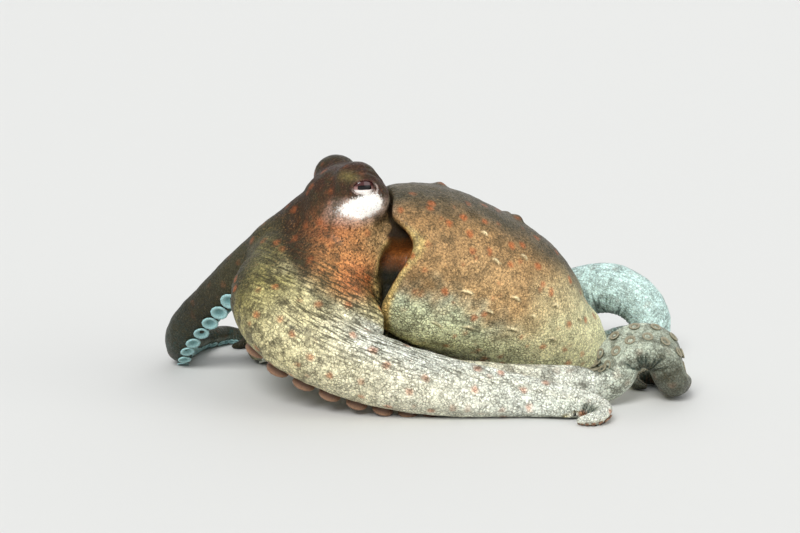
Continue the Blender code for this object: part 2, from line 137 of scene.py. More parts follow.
# Rows: x, y, z, radius, twist in degrees. With z None the arm lies on its suckers.
ARM_LINES = {
    "L1": [(-70, 0, 98, 19, 0), (-86, 8, 86, 18, 0), (-108, 20, 68, 16, -5), (-131, 36, 46, 14, -20),
           (-149, 50, 27, 12.5, -35), (-154, 66, 13, 11, -30), (-153, 88, None, 9.5, -10),
           (-147, 110, None, 8.2, 0), (-134, 127, None, 7, 0)],
    "L2": [(-76, -6, 76, 22, 0), (-91, -26, 64, 23.5, 0), (-80, -47, 49, 23, 0), (-50, -59, 34, 21.5, 0),
           (-18, -63, 23.5, 19.5, 0), (18, -62.5, 16, 16.4, 0), (56, -61, 11, 12.4, 0),
           (92, -65, None, 8, 0)],
    "L3": [(-62, -14, 52, 18, 0), (-42, -26, 25, 16.5, 0), (0, -30, 14, 14, 15), (46, -32, 11.8, 11.8, 35),
           (80, -36, 11.8, 11.8, 90), (97, -37, 12.8, 12.6, 145), (105, -37, 15.3, 13, 168),
           (110.5, -36.5, 20.5, 13.3, 182), (113.4, -36, 28, 13.6, 190), (119.5, -35.5, 33.6, 13.8, 190),
           (127.5, -35, 35.6, 13.8, 190), (135.5, -34.5, 33.6, 13.8, 190), (141.6, -33.5, 28, 13.2, 183),
           (144, -31.5, 20.5, 12.2, 172), (146.5, -26, 13.5, 11, 155), (149.5, -15, 10, 9.6, 130),
           (149, -2, None, 8.2, 105), (145.5, 8, None, 7.4, 95)],
    "L4": [(-54, 0, 46, 17, 0), (-29, 3, 20, 13.5, 0), (0, 25, None, 10.5, 0), (32, 52, None, 9, 0),
           (64, 67, None, 8, 0), (92, 72, None, 7, 0), (114, 65, None, 6, 0), (126, 48, None, 5, 0)],
    "R4": [(-56, 10, 48, 18, 0), (-26, 34, 22, 15, 0), (6, 61, None, 12, 0), (38, 83, None, 10.5, 0),
           (68, 95, None, 9, 0), (90, 103, None, 7.5, 0), (104, 116, None, 6.2, 0), (107, 131, None, 5, 0)],
    "R3": [(-58, 18, 54, 20, 0), (-35, 58, 30, 18, 0), (6, 105, 17, 17, 0), (58, 119, 20, 16.5, 20),
           (92, 106, 35, 16.8, 50), (109, 97, 43.5, 16.6, 75), (124, 88.5, 45.5, 16.2, 90),
           (138, 81.5, 39.5, 15, 90), (146, 79, 28.5, 13.6, 80), (148, 81.5, 17.8, 12.5, 60),
           (147, 89.5, 11.4, 11.6, 40), (143.5, 99.5, None, 10.6, 25), (136, 108.5, None, 9.2, 20)],
    "R2": [(-64, 16, 56, 19, 0), (-64, 50, 29, 17, 0), (-58, 84, 14.5, 14.5, 0), (-42, 110, None, 12.5, 0),
           (-10, 133, None, 11, 0), (26, 145, None, 9.5, 0), (58, 147, None, 7.5, 0)],
    "R1": [(-74, 12, 66, 19, 0), (-88, 38, 38, 17, 0), (-98, 66, 15, 15, 0), (-102, 92, None, 13, 0),
           (-97, 118, None, 11, 0), (-78, 138, None, 9.5, 0), (-52, 146, None, 8, 0)],
}
# The curl at each tip: degrees turned, left being positive, and the curl's first radius.
ARM_CURLS = {
    "L1": (-270, 12), "L2": (-260, 14), "L3": (270, 12), "L4": (-270, 10),
    "R4": (270, 10), "R3": (280, 13), "R2": (270, 13), "R1": (270, 13),
}
ARM_ORDER = ("L1", "L2", "L3", "L4", "R4", "R3", "R2", "R1")    # round the crown
TIP_RADIUS = 1.3
ORAL_FLAT = 0.62                # the flat sucker side, as a share of the arm's radius
SUCKER_STANDS = 0.22            # how far suckers stand out of it
ARM_SIDES = 28


def lying_height(radius, twist):
    """Height of an arm's line where it lies on its suckers, or on its side if twisted."""
    on_suckers = ORAL_FLAT + SUCKER_STANDS
    return radius * (on_suckers + (1 - on_suckers) * min(1, abs(twist) / 60))


def with_curl(rows, degrees, first_radius):
    """The line's rows, followed by a curl that tightens to the tip on the floor."""
    rows = [(x, y, lying_height(r, t) if z is None else z, r, t) for x, y, z, r, t in rows]
    (x, y, _, radius, twist), (x_before, y_before) = rows[-1], rows[-2][:2]
    heading = math.atan2(y - y_before, x - x_before)
    steps = max(6, round(abs(degrees) / 32))
    step_length = first_radius * math.radians(abs(degrees)) / steps
    spacing = math.hypot(x - x_before, y - y_before)
    start, end = Vector(rows[-2]), Vector(rows[-1])
    for lengths in (2.6, 1.1):      # rows close up on the way into the curl
        share = 1 - lengths * step_length / spacing
        if share > 0.5:
            rows.insert(-1, tuple(start.lerp(end, share)))
    for step in range(1, steps + 1):
        share = step / steps
        bend = first_radius * (1 - share) + 3.2 * share
        turn = math.radians(degrees / steps)
        heading += turn
        x += math.cos(heading) * bend * abs(turn)
        y += math.sin(heading) * bend * abs(turn)
        thick = radius + (TIP_RADIUS - radius) * share
        rows.append((x, y, lying_height(thick, twist), thick, twist))
    return rows


arms = {name: stations_along(with_curl(ARM_LINES[name], *ARM_CURLS[name])) for name in ARM_ORDER}


def arm_mesh(stations, spread):
    bm = bmesh.new()
    sweep(bm, spaced(stations, spread), ARM_SIDES, ORAL_FLAT)
    return to_mesh("arm", bm)


arm_meshes = [arm_mesh(arms[name], 0.18) for name in ARM_ORDER]

# ---- Head, crown and web -----------------------------------------------------------------
# The head is one soft mass with the crown that the arms spring from: a skull, a brow, two
# cheeks, a neck, and an eye mound on each side. A web of skin joins the arms' roots.

HEAD_AT = Vector((-47, -2, 126)) * MM
FACING_TURN = math.radians(200)
EYE_APART, EYE_RISE, EYE_SINK, EYE_BALL = 21.5, 2, 4.6, 8.6
MOUND, CHEEK, BROW = 14, 23, 8 * MM
# Soft masses: start, start radius, end, end radius.
MASSES = [
    ((-48, -2, 112), 26, (-50, -6, 92), 29),        # skull
    ((-50, -6, 92), 29, (-60, -12, 60), 36),        # head standing on the crown
    ((-76, -4, 70), 33, (-72, 2, 52), 34),          # crown
    ((-62, 0, 108), 17, (-90, 8, 84), 18),          # brow running into the first arms
    ((-42, -2, 100), 27, (-4, 4, 87), 26),          # neck
    ((-44, -6, 74), 27, (-6, 4, 72), 30),           # throat
    ((-54, -14, 86), 25, (-68, -38, 56), 25),       # shoulder running into the second left arm
    ((-50, -33, 68), 17, (-37, -44, 47), 13),       # skirt of skin from the cheek down to that arm
]
CHEEK_END = (4, 14, -44)        # below the left eye, in the head's frame; mirrored for the right
CORE_VOXEL = 1.5 * MM
ROOTS_END = 70 * MM             # along an arm, as far as its root melts into the crown
WEB_REACH = {"L1": 72, "L2": 30, "L3": 44, "L4": 60, "R4": 64, "R3": 64, "R2": 66, "R1": 66}
# The web's reach is along each arm, toward the next one round the crown.
WEB_DIP = 0.30                  # how far the web's free edge dips between two arms
WEB_THICK = 4.2 * MM

bm = bmesh.new()
bmesh.ops.create_uvsphere(bm, u_segments=24, v_segments=16, radius=1)
unit_ball = to_mesh("unit_ball", bm)


def ball(bm, centre, radius):
    mesh = unit_ball.copy()
    mesh.transform(Matrix.Translation(centre) @ Matrix.Scale(radius, 4))
    bm.from_mesh(mesh)
    bpy.data.meshes.remove(mesh)


def mass(bm, start, start_radius, end, end_radius, balls=9):
    """A soft tapered mass between two points, as overlapping balls."""
    start, end = Vector(start), Vector(end)
    for k in range(balls):
        share = k / (balls - 1)
        radius = start_radius + (end_radius - start_radius) * share
        ball(bm, start.lerp(end, share) * MM + SHIFT, radius * MM)


def head_frame():
    """Turns head coordinates, forward, left and up, to the model's."""
    forward = Vector((math.cos(FACING_TURN), math.sin(FACING_TURN), 0))
    left = Vector((0, 0, 1)).cross(forward)
    turned = Matrix((forward, left, (0, 0, 1))).transposed().to_4x4()
    return Matrix.Translation(HEAD_AT + SHIFT) @ turned


def eye_place(side, out):
    """A point on the eye's axis; side is 1 on the left and -1 on the right."""
    return head_frame() @ (Vector((0, side * (EYE_APART + out), EYE_RISE)) * MM)


def web_between(arm, other, reach, into):
    """The web from one arm to the next: a sheet with a dipping free edge, thickened."""
    bm = bmesh.new()
    bmesh.ops.create_grid(bm, x_segments=14, y_segments=14, size=1)
    for vert in bm.verts:
        across, out = (vert.co.x + 1) / 2, (vert.co.y + 1) / 2
        edge = reach * (1 - WEB_DIP * 4 * across * (1 - across))
        a, b = at_run(arm, edge * out), at_run(other, edge * out)
        vert.co = a.place.lerp(b.place, across)
        vert.co.z = max(vert.co.z, WEB_THICK / 2)
    bmesh.ops.recalc_face_normals(bm, faces=bm.faces)
    bmesh.ops.solidify(bm, geom=bm.faces, thickness=WEB_THICK)
    into.from_mesh(to_mesh("web", bm))


def to_object(name, bm):
    for vert in bm.verts:
        vert.co.z = max(vert.co.z, 0)
    bmesh.ops.recalc_face_normals(bm, faces=bm.faces)
    made = bpy.data.objects.new(name, to_mesh(name, bm))
    bpy.context.scene.collection.objects.link(made)
    return made


def finished(source):
    """The mesh an object's modifiers make of it. The object goes."""
    graph = bpy.context.evaluated_depsgraph_get()
    mesh = bpy.data.meshes.new_from_object(source.evaluated_get(graph))
    bpy.data.objects.remove(source)
    return mesh


def melted(source, voxel, rounds):
    """The mesh of overlapping masses melted into one soft skin."""
    remesh = source.modifiers.new("melt", "REMESH")
    remesh.mode = "VOXEL"
    remesh.voxel_size = voxel
    smooth = source.modifiers.new("smooth", "SMOOTH")
    smooth.factor = 0.5
    smooth.iterations = rounds
    return finished(source)


core = bmesh.new()
for row in MASSES:
    mass(core, *row)
for side in (1, -1):
    forward, left, up = CHEEK_END
    cheek = (head_frame() @ (Vector((forward, side * left, up)) * MM) - SHIFT) / MM
    mound = (eye_place(side, -2.5) - SHIFT) / MM
    mass(core, mound, MOUND, mound + Vector((6, -4 * side, -8)), MOUND)
    mass(core, mound, MOUND - 1, cheek, CHEEK)
    ball(core, eye_place(side, -5) + Vector((0, 0, 6 * MM)), BROW)
for name in ARM_ORDER:
    core.from_mesh(arm_mesh([s for s in arms[name] if s.run < ROOTS_END], 0.3))
for name, following in zip(ARM_ORDER, ARM_ORDER[1:] + ARM_ORDER[:1]):
    web_between(arms[name], arms[following], WEB_REACH[name] * MM, core)
core_skin = melted(to_object("core", core), CORE_VOXEL, 16)

# ---- Mantle and siphon -------------------------------------------------------------------
# The mantle is a muscular sack that slumps away from the head. Its mouth stands off the neck
# as a thick free lip, which gapes on each flank. The siphon, a soft tube, comes out under it.

MANTLE_LINE = [(-26, -3, 82, 42.5, 0), (-13, 0, 80.5, 46.2, 0), (4, 6, 75.5, 48, 0), (26, 14, 63, 48, 0),
               (51, 23, 47.5, 43.5, 0), (78, 32, 28, 34.2, 0), (98, 38.5, 19.5, 22.8, 0),
               (107, 41.5, 16, 13, 0), (111, 43, 13.5, 3.5, 0)]
LIP = 4.5 * MM
CUP_DEPTH = 20 * MM
# The lip gapes and closes: angle from the back, its spread, how far set back and flared in mm.
GAPES = ((70, 20, 9.0, 2.0), (122, 17, -3.5, 0.0), (45, 13, -4.2, 0.0))
GAPE_FADES = 36 * MM
SIPHON_LINE = [(-26, 22, 62, 10, 0), (-21, 36, 60, 8.5, 0), (-17, 48, 62, 7, 0), (-15, 57, 65, 6, 0)]
SIPHON_BORE = ((0.62, 0), (0.9, 3), (0.8, 11))     # steps in: how much each narrows, and its depth


def hollowed(bm, cap, steps):
    """Draws a cap inwards by steps: how much each narrows, and its way in."""
    for shrink, way in steps:
        cap = bmesh.ops.extrude_discrete_faces(bm, faces=[cap])["faces"][0]
        centre = cap.calc_center_median()
        for vert in cap.verts:
            vert.co = centre + (vert.co - centre) * shrink + way


mantle_line = stations_along(MANTLE_LINE)
mouth_at = mantle_line[0]
bm = bmesh.new()
mouth = sweep(bm, spaced(mantle_line, 0.08), 72, 0.94)
bmesh.ops.inset_region(bm, faces=[mouth], thickness=LIP, depth=0)
hollowed(bm, mouth, [(shrink, mouth_at.along * CUP_DEPTH * 0.25) for shrink in (0.99, 0.97, 0.92, 0.80)])
for vert in bm.verts:
    offset = vert.co - mouth_at.place
    deep = max(offset.dot(mouth_at.along), 0)
    if deep < GAPE_FADES:
        across = mouth_at.oral.cross(mouth_at.along)
        angle = math.degrees(math.atan2(abs(offset.dot(across)), -offset.dot(mouth_at.oral)))
        outward = (offset - offset.dot(mouth_at.along) * mouth_at.along).normalized()
        fade = (1 - deep / GAPE_FADES) ** 2
        for middle, spread, back, flare in GAPES:
            share = math.exp(-((angle - middle) / spread) ** 2) * fade * MM
            vert.co += mouth_at.along * back * share + outward * flare * share
mantle_mesh = to_mesh("mantle", bm)

siphon_line = stations_along(SIPHON_LINE)
bm = bmesh.new()
mouth = sweep(bm, spaced(siphon_line, 0.3)[::-1], 24, 1)
hollowed(bm, mouth, [(shrink, -siphon_line[-1].along * depth * MM) for shrink, depth in SIPHON_BORE])
siphon_mesh = to_mesh("siphon", bm)

# ---- Skin --------------------------------------------------------------------------------
# One soft wet skin runs over mantle, head, crown, web and arms without a seam. It carries
# low lumps all over, and on the mantle the raised ridges that an octopus puffs up at will.

SKIN_VOXEL = 1.0 * MM
SKIN_TRIANGLES = 150000         # before the ridges and lids are cut finer
# Ridges on each flank of the mantle: x in mm, angle from the back, length in mm, slope in degrees.
RIDGES = [(11, 95, 8, -6), (35, 83, 6, 0), (4, 124, 8, 12), (21, 117, 7, -10), (43, 104, 7, -8),
          (18, 66, 5, 5), (57, 70, 5, -10), (32, 52, 5, 10), (66, 94, 5, -5), (9, 50, 4, 15), (76, 62, 4, 0),
          (26, 100, 5, 0), (50, 88, 4, 5)]
BACK_KNOBS = [(-2, 8, 2.6), (30, 9, 3.0), (30, -9, 3.0), (62, 7, 2.4)]     # x, angle, height in mm
# The head's rear edge, where the groove starts: angle from the mantle's back, and mm behind its mouth.
THROAT_EDGE = [(40, 3.0), (47, 0.8), (68, -4.4), (87, -7.4), (112, -8.2), (128, -4.5), (140, -4.0)]
THROAT_WALL = 3.2               # mm, from that edge to the groove's full depth
THROAT_DEPTH = 8.5
FOLD_APART, FOLD_DEEP = 4.4, 0.7 * MM      # folds on the inside of a bend, apart in mm
PRESSED = 5.0 * MM              # how far the mantle presses the second left arm's top down


def numbers(mesh, what):
    """A mesh's places or normals as rows of numbers."""
    flat = np.empty(len(mesh.vertices) * 3, np.float32)
    mesh.vertices.foreach_get(what, flat)
    return flat.reshape(-1, 3).astype(float)


def field(points, size, seed=0):
    """Soft noise from -1 to 1 at each point, with lumps of about that size."""
    shift = Vector((seed * 7.31, seed * 3.17, seed * 5.71))
    return np.array([noise.noise(Vector(p) / size + shift) for p in points])


def smooth(low, high, value):
    share = np.clip((value - low) / (high - low), 0, 1)
    return share * share * (3 - 2 * share)


def bell(value, middle, spread):
    return np.exp(-((value - middle) / spread) ** 2)


def along_line(line, points, step=2):
    """Where points lie about a line: its length run there, its radius, the distance from it in
    radii, the angle from the back, how far past an end they are, and how tightly they are squeezed
    on the inside of a bend, from 0 to 1."""
    kept = line[::step]
    places = np.array([s.place for s in kept])
    nearest = np.empty(len(points), int)
    for start in range(0, len(points), 5000):
        gap = points[start:start + 5000, None] - places[None]
        nearest[start:start + 5000] = np.einsum("ijk,ijk->ij", gap, gap).argmin(1)
    offset = points - places[nearest]
    runs, radii = np.array([s.run for s in kept]), np.array([s.radius for s in kept])
    alongs, orals = np.array([s.along for s in kept]), np.array([s.oral for s in kept])
    acrosses = np.array([s.oral.cross(s.along).normalized() for s in kept])
    bends = np.gradient(alongs, runs, axis=0)
    past, side, back, bend = ((offset * axes[nearest]).sum(1) for axes in (alongs, acrosses, -orals, bends))
    squeeze = np.clip(bend, 0, 1)
    run, radius = runs[nearest] + past, radii[nearest]
    return run, radius, np.hypot(side, back) / radius, np.degrees(np.arctan2(side, back)), past, squeeze


def on_mantle(x, angle):
    """The point of the mantle's surface at a length x and an angle from its back, with its axes."""
    station = min(mantle_line, key=lambda s: abs(s.place.x - x * MM - SHIFT.x))
    turned = Matrix.Rotation(math.radians(-angle), 3, station.along)
    outward = turned @ -station.oral
    return station.place + outward * station.radius, station.along, outward.cross(station.along)


def off_ridge(points, ridge, side, half_wide):
    """Each point's offset from a ridge of the mantle: along it, across it and out, in its halves."""
    x, turn, size, slope = ridge
    place, along, around = on_mantle(x, side * turn)
    bend = math.radians(side * slope)
    lengthways = along * math.cos(bend) + around * math.sin(bend)
    crossways = around * math.cos(bend) - along * math.sin(bend)
    offset = points - np.array(place)
    parts = [offset @ np.array(axis) for axis in (lengthways, crossways, lengthways.cross(crossways))]
    return parts[0] / (0.5 * size * MM), parts[1] / (half_wide * MM), parts[2] / (7 * MM)


def ridge_fields(points):
    """For each ridge on each flank, how far across its arched crest points lie, and where it ends."""
    for ridge in RIDGES:
        for side in (1, -1):
            a, b, c = off_ridge(points, ridge, side, 0.85)
            yield b + 0.9 * a * a, np.exp(-a ** 4 - c * c)


def swelling(run, angle):
    """How far the slumped mantle swells past its round form, in mm: above and, near the lip, below."""
    run, flank = run / MM, angle * (1 if mouth_at.oral.cross(mouth_at.along).y < 0 else -1)
    return 3.6 * bell(run, 88, 26) * bell(flank, 25, 40) + 6.0 * bell(run, 27, 24) * bell(flank, 140, 21)


def lip_at(turned):
    """How far back the mantle's lip lies, in mm, at an angle from its back."""
    return sum(back * bell(turned, middle, spread) for middle, spread, back, _ in GAPES)


def throat_of(points):
    """How deep in the groove behind the head each point lies, how near its front edge and its
    front wall, and the angle from the mantle's back."""
    run, _, share, angle, _, _ = along_line(mantle_line, points)
    behind_mouth, turned = run / MM, np.abs(angle)
    edge = behind_mouth - np.interp(turned, *zip(*THROAT_EDGE))
    near = smooth(1.25, 1.12, share)
    inner = np.where(behind_mouth < lip_at(turned) - 1.5, 1, smooth(0.87, 0.81, share))
    ends = smooth(53, 68, turned) * smooth(142, 126, turned) * smooth(16, 10, behind_mouth) * near
    deep = smooth(0, THROAT_WALL, edge) * inner * ends
    rim = bell(edge, -1.6, 1.6) * ends * (share > 0.5)
    wall = bell(edge, 0.6, 2.0) * smooth(56, 66, turned) * smooth(132, 112, turned) * inner * near
    return deep, rim, wall, turned


flesh = bmesh.new()
for mesh in [core_skin, mantle_mesh, siphon_mesh, *arm_meshes]:
    flesh.from_mesh(mesh)
skin_mesh = melted(to_object("flesh", flesh), SKIN_VOXEL, 4)
points, normals = numbers(skin_mesh, "co"), numbers(skin_mesh, "normal")
rise = 0.42 * field(points, 9 * MM) + 0.22 * field(points, 4 * MM, 1)
eyes_clear = np.ones(len(points))
for side in (1, -1):
    gap = np.linalg.norm(points - np.array(eye_place(side, EYE_SINK)), axis=1)
    eyes_clear *= smooth(10 * MM, 18 * MM, gap)
rise *= eyes_clear
for x, angle, height in BACK_KNOBS:
    rise += height * bell(np.linalg.norm(points - np.array(on_mantle(x, angle)[0]), axis=1), 0, 4.5 * MM)
run, _, share, angle, _, _ = along_line(mantle_line, points)
rise += swelling(run, angle) * smooth(0.86, 0.92, share) * smooth(1.22, 1.10, share)
deep, rim, _, _ = throat_of(points)
inwards, along = points - np.array(mouth_at.place), np.array(mouth_at.along)
inwards -= (inwards @ along)[:, None] * along
inwards /= -np.linalg.norm(inwards, axis=1)[:, None]
points += (normals * (rise + 0.9 * rim)[:, None] + inwards * (THROAT_DEPTH * deep)[:, None]) * MM
for name in ARM_ORDER:
    line = np.array([s.place for s in arms[name]])
    reach = 25 * MM
    near = np.flatnonzero(((points > line.min(0) - reach) & (points < line.max(0) + reach)).all(1))
    run, _, share, _, _, squeeze = along_line(arms[name], points[near])
    run = run / MM
    folded = smooth(0.10, 0.34, squeeze) * smooth(110, 150, run) * smooth(1.4, 1.2, share)
    near, run, folded = near[folded > 0], run[folded > 0], folded[folded > 0]
    waves = np.sin((run + 2.2 * field(points[near], 11 * MM, 7)) * math.tau / FOLD_APART)
    points[near] -= normals[near] * (FOLD_DEEP * folded * smooth(-0.2, 1.0, waves))[:, None]

run, _, share, angle, _, _ = along_line(arms["L2"], points)
pressed = smooth(112, 165, run / MM) * smooth(270, 225, run / MM)
pressed *= smooth(1.35, 1.15, share) * smooth(80, 30, np.abs(angle))
points[:, 2] -= PRESSED * pressed
points[:, 2] = np.maximum(points[:, 2], 0)
skin_mesh.vertices.foreach_set("co", points.astype(np.float32).ravel())

thinned = bpy.data.objects.new("thinned", skin_mesh)
bpy.context.scene.collection.objects.link(thinned)
thinned.modifiers.new("thin", "DECIMATE").ratio = SKIN_TRIANGLES / (2 * len(skin_mesh.polygons))
skin_mesh = finished(thinned)

# Bubbles shut inside the flesh and stray specks go, and only the outer skin stays.
bm = bmesh.new()
bm.from_mesh(skin_mesh)
unseen, islands = set(bm.verts), []
while unseen:
    island = waiting = {unseen.pop()}
    while waiting:
        waiting = {edge.other_vert(vert) for vert in waiting for edge in vert.link_edges} - island
        island = island | waiting
    unseen -= island
    islands.append(island)
outer_skin = max(islands, key=len)
bmesh.ops.delete(bm, geom=[vert for vert in bm.verts if vert not in outer_skin], context="VERTS")

# The ridges are cut finer before they are raised.
for cut in range(2):
    bm.edges.ensure_lookup_table()
    middles = np.array([(e.verts[0].co + e.verts[1].co) / 2 for e in bm.edges])
    near = np.zeros(len(middles), bool)
    for ridge in RIDGES:
        for side in (1, -1):
            a, b, c = off_ridge(middles, ridge, side, 3.2 - cut)
            near |= (np.abs(a) < 1.35) & (np.abs(b) < 1) & (np.abs(c) < 1)
    bmesh.ops.subdivide_edges(bm, edges=[bm.edges[k] for k in np.flatnonzero(near)], cuts=1)
    bmesh.ops.triangulate(bm, faces=[f for f in bm.faces if len(f.verts) > 3])
bm.to_mesh(skin_mesh)
bm.free()
points, normals = numbers(skin_mesh, "co"), numbers(skin_mesh, "normal")
rise = np.zeros(len(points))
for arched, ends in ridge_fields(points):
    rise += (bell(arched, 0, 1) - 0.35 * bell(arched, -1.9, 1)) * ends
points += normals * rise[:, None] * MM
skin_mesh.vertices.foreach_set("co", points.astype(np.float32).ravel())

# ---- Eyelids -----------------------------------------------------------------------------
# Each eye looks out through a level slit between two thick lids, which are folds of the skin
# drawn over the ball. The opening's rim is thin and pale.

OPENING = (6.6, 4.1)            # half its width and height
LID_THICK, LID_BLEND = 1.15, 1.2
LIDS_REACH = 14
RIM_FROM, RIM_TO = 0.86, 1.10   # edges this near the opening's rim, in its size, are drawn to it
BEHIND_BALL = 2.4               # how deep the skin lies inside the ball, within the opening
SOFT_FOLDS = [(2.02, -0.60), (2.32, 0.45), (2.66, -0.45)]     # above each eye: where, and height in mm


def eye_frame(side):
    """Turns eye coordinates, level, up and outward from the ball's middle, to the model's."""
    outward = (eye_place(side, 1) - eye_place(side, 0)).normalized()
    level = Vector((0, 0, 1)).cross(outward).normalized()
    turned = Matrix((level, outward.cross(level), outward)).transposed().to_4x4()
    return Matrix.Translation(eye_place(side, EYE_SINK)) @ turned


bm = bmesh.new()
bm.from_mesh(skin_mesh)
for side in (1, -1):
    frame_in = eye_frame(side)
    frame_back = frame_in.inverted()
    for reach in (LIDS_REACH - 2, LIDS_REACH - 4):
        for face in bm.faces:
            local = frame_back @ face.calc_center_median() / MM
            face.tag = local.z > 0 and math.hypot(local.x, local.y) < reach
        near = [edge for edge in bm.edges if any(face.tag for face in edge.link_faces)]
        bmesh.ops.subdivide_edges(bm, edges=near, cuts=1, use_grid_fill=True)
    bmesh.ops.triangulate(bm, faces=[f for f in bm.faces if len(f.verts) > 3])
    for vert in bm.verts:
        level, up, out = frame_back @ vert.co / MM
        across = math.hypot(level, up)
        if out < -1 or across > LIDS_REACH:
            continue
        share = math.hypot(level / OPENING[0], up / OPENING[1])     # 1 on the opening's rim
        if RIM_FROM < share < RIM_TO:
            pulled = 0.97 if share < 0.97 else 1
            level, up, across = (size * pulled / share for size in (level, up, across))
            share = pulled
        if share < 0.985:
            out = math.sqrt(max(EYE_BALL ** 2 - across ** 2, 0)) - BEHIND_BALL
        else:
            lid = math.sqrt(max((EYE_BALL + LID_THICK) ** 2 - across ** 2, 0))
            fold = 0.5 * math.exp(-((share - 1.75) / 0.16) ** 2) * (1 if up > 0 else 0.6)
            lid -= 0.45 * math.exp(-((share - 1.5) / 0.14) ** 2) - fold
            if share < 1.12:
                lid -= 0.5 * (1.12 - share) / 0.12
            apart = abs(lid - out) / LID_BLEND      # the lid runs softly into the skin round it
            eased = math.log(1 + math.exp(-apart)) - math.log(2) * math.exp(-apart)
            out = max(lid, out) + LID_BLEND * eased
        for at, height in SOFT_FOLDS:
            slant = share + 0.05 * level / (1 + abs(up))
            out += height * math.exp(-((slant - at) / 0.15) ** 2) * max(0, min(1, (up + 3) / 5))
        vert.co = frame_in @ (Vector((level, up, out)) * MM)
bm.to_mesh(skin_mesh)
bm.free()

# ---- Markings ----------------------------------------------------------------------------
# The skin's colours lie in soft fields: maroon over the crown of the head, orange below the
# eyes, tan to yellow over the mantle, cream and cyan along the arms. They are kept on the mesh
# as attributes, which the skin's material breaks up into cells, spots and grains.

TONES = {
    "olive": "7d7a50", "olive dark": "3f3d28", "bulge": "a89e5e", "cream": "f0e6b6", "pale": "fbf7dc",
    "cyan white": "f4f8ea", "cyan": "d6f4ee", "teal": "293d36", "teal pale": "d8ecd0", "grey green": "a3ae9c",
    "hump": "c3cdba", "dark": "1a1d17", "shaded mantle back": "5e5643", "tan": "d4ac77", "front": "ab8354",
    "yellow": "fff4be", "low": "f8fac6", "maroon": "361a14", "brown": "281a0c", "red": "b0623a",
    "orange": "de9a5c", "slit": "7a431a", "lip": "e0c27c", "mauve": "7a5f4d", "rim": "e9d3c8",
    "lid": "6b3a35", "throat": "a5622c", "ridge": "ffeebd", "mound": "2d2c20",
}


def linear(text):
    """An sRGB hex value as linear light."""
    shares = [int(text[k:k + 2], 16) / 255 for k in (0, 2, 4)]
    return [s / 12.92 if s <= 0.04045 else ((s + 0.055) / 1.055) ** 2.4 for s in shares]


def tone(name):
    return np.array(linear(TONES[name]))


def stops(value, *pairs):
    """Tones along a value, from pairs of a value and a tone's name."""
    at = [pair[0] for pair in pairs]
    colours = np.array([tone(pair[1]) for pair in pairs])
    return np.stack([np.interp(value, at, colours[:, k]) for k in range(3)], axis=1)


def mixed(under, over, share):
    if isinstance(over, str):
        over = tone(over)
    return under + (over - under) * np.clip(share, 0, 1)[:, None]


points = numbers(skin_mesh, "co")
count = len(points)
X, Y, Z = ((points - np.array(SHIFT)) / MM).T
wander = field(points, 16 * MM, 2)
patches = field(points, 7 * MM, 4)


def mixed_row(under, *rows):
    """Tones laid over each other in turn, from pairs of a tone and its share."""
    for over, share in rows:
        under = mixed(under, over, share)
    return under


def round_spot(x, z, wide, high):
    """A soft oval field on both flanks of head and crown."""
    return bell(X + 4 * wander, x, wide) * bell(Z + 4 * patches, z, high)


# Head and crown.
total = np.full(count, 0.03)
colour = stops(Z + 5 * wander, (30, "cream"), (58, "bulge"), (84, "olive"), (110, "brown"), (122, "maroon"))
skirt = smooth(8, -8, Z + 0.4 * (X + 75) - 77 + 6 * wander) * smooth(-94, -72, X)
colour = mixed_row(
    colour, ("bulge", 0.9 * round_spot(-86, 70, 15, 18)), ("brown", 1.5 * round_spot(-71, 99, 17, 25)),
    ("orange", 1.2 * round_spot(-44, 88, 17, 22)), ("red", 0.75 * round_spot(-40, 74, 12, 12)),
    ("red", 0.6 * round_spot(-54, 104, 14, 9)), ("tan", 0.95 * round_spot(-25, 97, 8, 15)),
    # The far side of the head's top takes the dark mound tone: partly its own olive grey, partly painted
    # shade.
    ("mound", 0.8 * smooth(4, 14, Y) * smooth(88, 112, Z)), ("cream", smooth(62, 44, Z + 6 * wander)),
    # The far left toward the first left arm and its web is darkened: partly its own dark skin, partly painted
    # shade.
    ("cream", 0.85 * skirt), ("dark", 0.8 * smooth(-92, -108, X + 4 * wander)))
net = 0.35 + 0.5 * smooth(85, 60, Z)
spots = 0.45 + 0.4 * smooth(90, 70, Z)
grain = (0.35 + 0.65 * smooth(60, 85, Z)) * (1 - 0.6 * smooth(100, 118, Z))
streak = smooth(98, 80, Z + 0.35 * (X + 60)) * smooth(-106, -92, X) * (1 - 0.65 * smooth(0, 25, Y))
fan, gloss, white = np.zeros(count), np.zeros(count), np.zeros(count)
blotch = 0.62 * total
colour *= total[:, None]
net, spots, grain, streak = (layer * total for layer in (net, spots, grain, streak))
# The streaks lie down and back over the crown, and along each arm.
lie = np.stack([0.89 * X - 0.454 * Z, 0.454 * X + 0.89 * Z + 0.3 * Y, 0 * X], axis=1)
closest = np.full(count, 1e9)
seam = np.ones(count)           # 0 where the streaks change their lie

